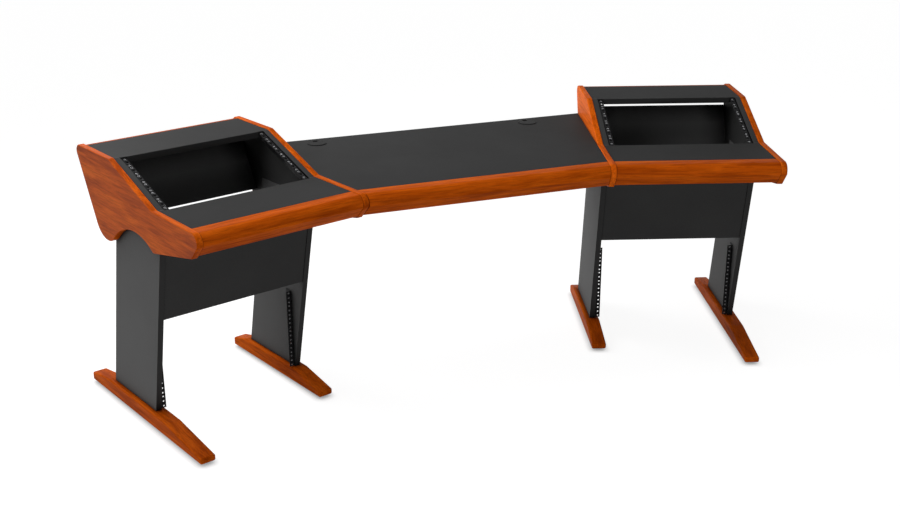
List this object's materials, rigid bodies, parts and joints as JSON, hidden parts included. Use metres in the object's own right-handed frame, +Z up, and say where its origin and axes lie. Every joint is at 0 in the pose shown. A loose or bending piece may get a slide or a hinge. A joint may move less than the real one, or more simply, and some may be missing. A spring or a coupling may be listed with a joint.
{
  "type": "studio desk",
  "caption": "Studio desk with a level centre top between two angled turrets, each with a sloped rack above and an upright rack between leaning legs on wooden feet.",
  "frame": {"origin": "middle of the desk's footprint, on the floor under the glides", "axes": "+X to the right of a seated player, +Y away from the player, +Z up"},
  "size_m": [2.3634, 0.906, 0.8377],
  "materials": {
    "wood": "satin lacquer",
    "laminate": "matt laminate",
    "board": "matt black melamine",
    "steel": "black powder coat",
    "zinc": "zinc plate",
    "plastic": "matt",
    "nylon": "matt"
  },
  "bodies": {
    "desk": {"centre_top": "laminate", "centre_armrest": "wood", "centre_front_rail": "board", "centre_rear_rail": "board", "left_grommet_liner": "plastic", "right_grommet_liner": "plastic", "left_inner_cheek": "wood", "left_outer_cheek": "wood", "left_inner_side": "board", "left_outer_side": "board", "left_inner_leg": "board", "left_outer_leg": "board", "left_inner_foot": "wood", "left_outer_foot": "wood", "left_inner_upper_rail": "steel", "left_outer_upper_rail": "steel", "left_inner_lower_rail": "steel", "left_outer_lower_rail": "steel", "left_inner_front_glide": "nylon", "left_inner_rear_glide": "nylon", "left_outer_front_glide": "nylon", "left_outer_rear_glide": "nylon", "left_worktop": "laminate", "left_armrest": "wood", "left_front_rail": "board", "left_modesty_panel": "board", "left_turret_top": "laminate", "left_turret_lipping": "wood", "left_back_panel": "board", "left_front_bracket": "zinc", "left_rear_bracket": "zinc", "right_inner_cheek": "wood", "right_outer_cheek": "wood", "right_inner_side": "board", "right_outer_side": "board", "right_inner_leg": "board", "right_outer_leg": "board", "right_inner_foot": "wood", "right_outer_foot": "wood", "right_inner_upper_rail": "steel", "right_outer_upper_rail": "steel", "right_inner_lower_rail": "steel", "right_outer_lower_rail": "steel", "right_inner_front_glide": "nylon", "right_inner_rear_glide": "nylon", "right_outer_front_glide": "nylon", "right_outer_rear_glide": "nylon", "right_worktop": "laminate", "right_armrest": "wood", "right_front_rail": "board", "right_modesty_panel": "board", "right_turret_top": "laminate", "right_turret_lipping": "wood", "right_back_panel": "board", "right_front_bracket": "zinc", "right_rear_bracket": "zinc"},
    "left_cap": {"left_grommet_cap": "plastic"},
    "right_cap": {"right_grommet_cap": "plastic"}
  },
  "joints": [
    {"name": "left_cap_turn", "type": "hinge", "parent": "desk", "child": "left_cap", "pos_m": [-0.387, 0.3331, 0.74], "axis": [0, 0, 1], "continuous": true},
    {"name": "right_cap_turn", "type": "hinge", "parent": "desk", "child": "right_cap", "pos_m": [0.387, 0.3331, 0.74], "axis": [0, 0, 1], "continuous": true}
  ]
}
